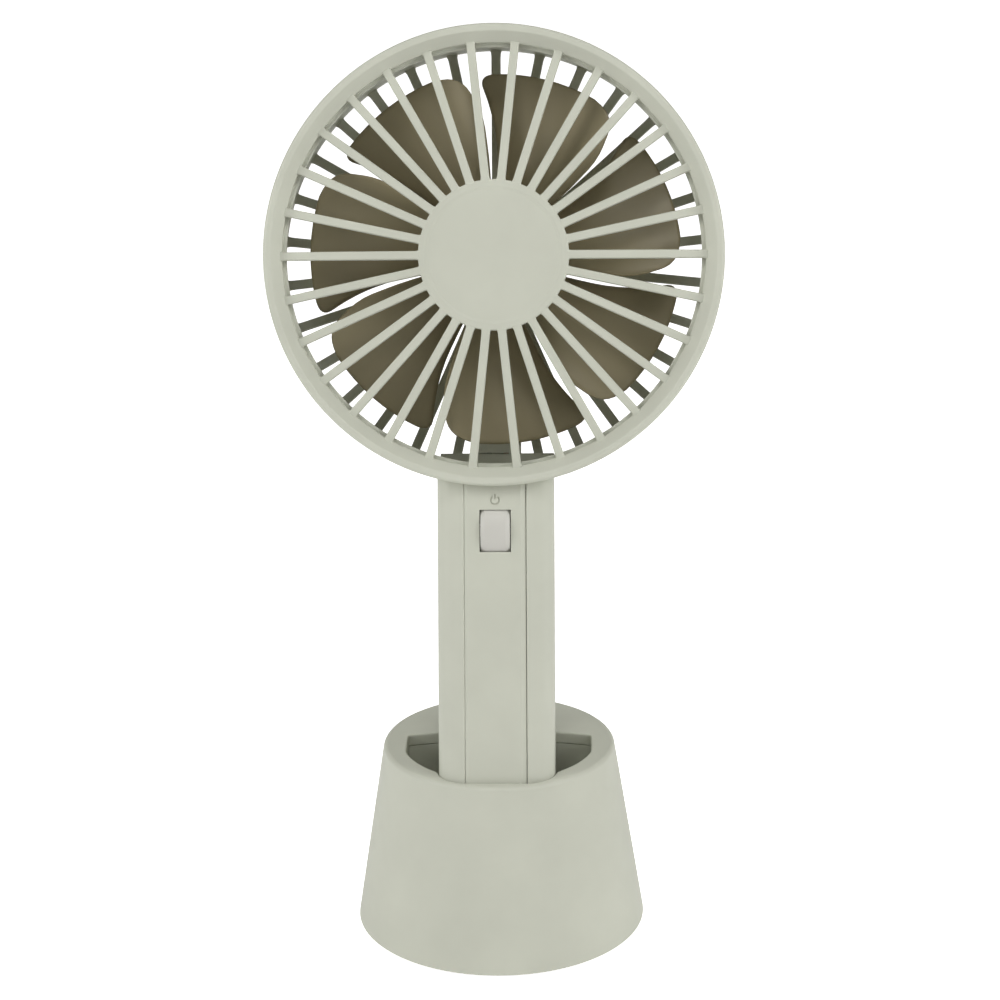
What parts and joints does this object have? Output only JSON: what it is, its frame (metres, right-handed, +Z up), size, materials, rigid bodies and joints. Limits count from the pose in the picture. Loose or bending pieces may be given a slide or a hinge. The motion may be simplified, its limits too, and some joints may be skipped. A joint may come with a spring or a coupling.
{
  "type": "handheld electric fan",
  "caption": "Battery hand fan with a round grille head and straight handle, leaning back in a conical desk base.",
  "frame": {"origin": "centre of the base's underside, where its rubber pad stands", "axes": "+Z up, the fan blows towards -Y and leans back towards +Y, +X is to the right seen from the front"},
  "size_m": [0.1, 0.0848, 0.1996],
  "materials": {
    "sage_plastic": "fine matte",
    "button_plastic": "fine matte",
    "blade_plastic": "satin",
    "inner_plastic": "matte",
    "rubber": "matte",
    "steel": "satin",
    "screw_steel": "satin",
    "magnet": "matte",
    "copper": "gloss",
    "brass": "satin",
    "battery_wrap": "gloss",
    "board_green": "satin",
    "chip_black": "matte",
    "wire_red": "satin",
    "wire_black": "satin",
    "clear_plastic": "gloss"
  },
  "bodies": {
    "base": {"base_shell": "sage_plastic", "cradle": "sage_plastic", "base_weight": "steel", "base_plate": "inner_plastic", "rubber_pad": "rubber", "shell_screws": "screw_steel", "cradle_screws": "screw_steel"},
    "fan": {"front_grille": "sage_plastic", "head_ring": "sage_plastic", "rear_grille": "sage_plastic", "rear_cap": "sage_plastic", "motor_can": "steel", "motor_end_bell": "inner_plastic", "motor_front_bush": "brass", "motor_rear_bush": "brass", "motor_magnets": "magnet", "motor_brushes": "brass", "motor_terminals": "brass", "motor_lead_red": "wire_red", "motor_lead_black": "wire_black", "motor_screws": "screw_steel", "handle_shell": "sage_plastic", "front_panel": "sage_plastic", "bottom_cap": "sage_plastic", "battery_cell": "battery_wrap", "battery_tabs": "steel", "control_board": "board_green", "board_chips": "chip_black", "charge_port": "steel", "charge_light": "clear_plastic", "wheel_bracket": "inner_plastic", "speed_control": "inner_plastic", "neck_screws": "screw_steel"},
    "rotor": {"impeller": "blade_plastic", "motor_shaft": "steel", "armature": "steel", "armature_coils": "copper", "commutator": "copper"},
    "wheel": {"speed_wheel": "button_plastic", "wheel_axle": "steel"}
  },
  "joints": [
    {"name": "fan_lift", "type": "slide", "parent": "base", "child": "fan", "axis": [0, 0.309, 0.9511], "range_m": [0, 0.04]},
    {"name": "impeller_spin", "type": "hinge", "parent": "fan", "child": "rotor", "pos_m": [0, 0.02482, 0.1476], "axis": [0, -0.9511, 0.309], "continuous": true},
    {"name": "speed_wheel_turn", "type": "hinge", "parent": "fan", "child": "wheel", "pos_m": [0, 0.0002, 0.09272], "axis": [1, 0, 0], "range_deg": [0, 270]}
  ]
}
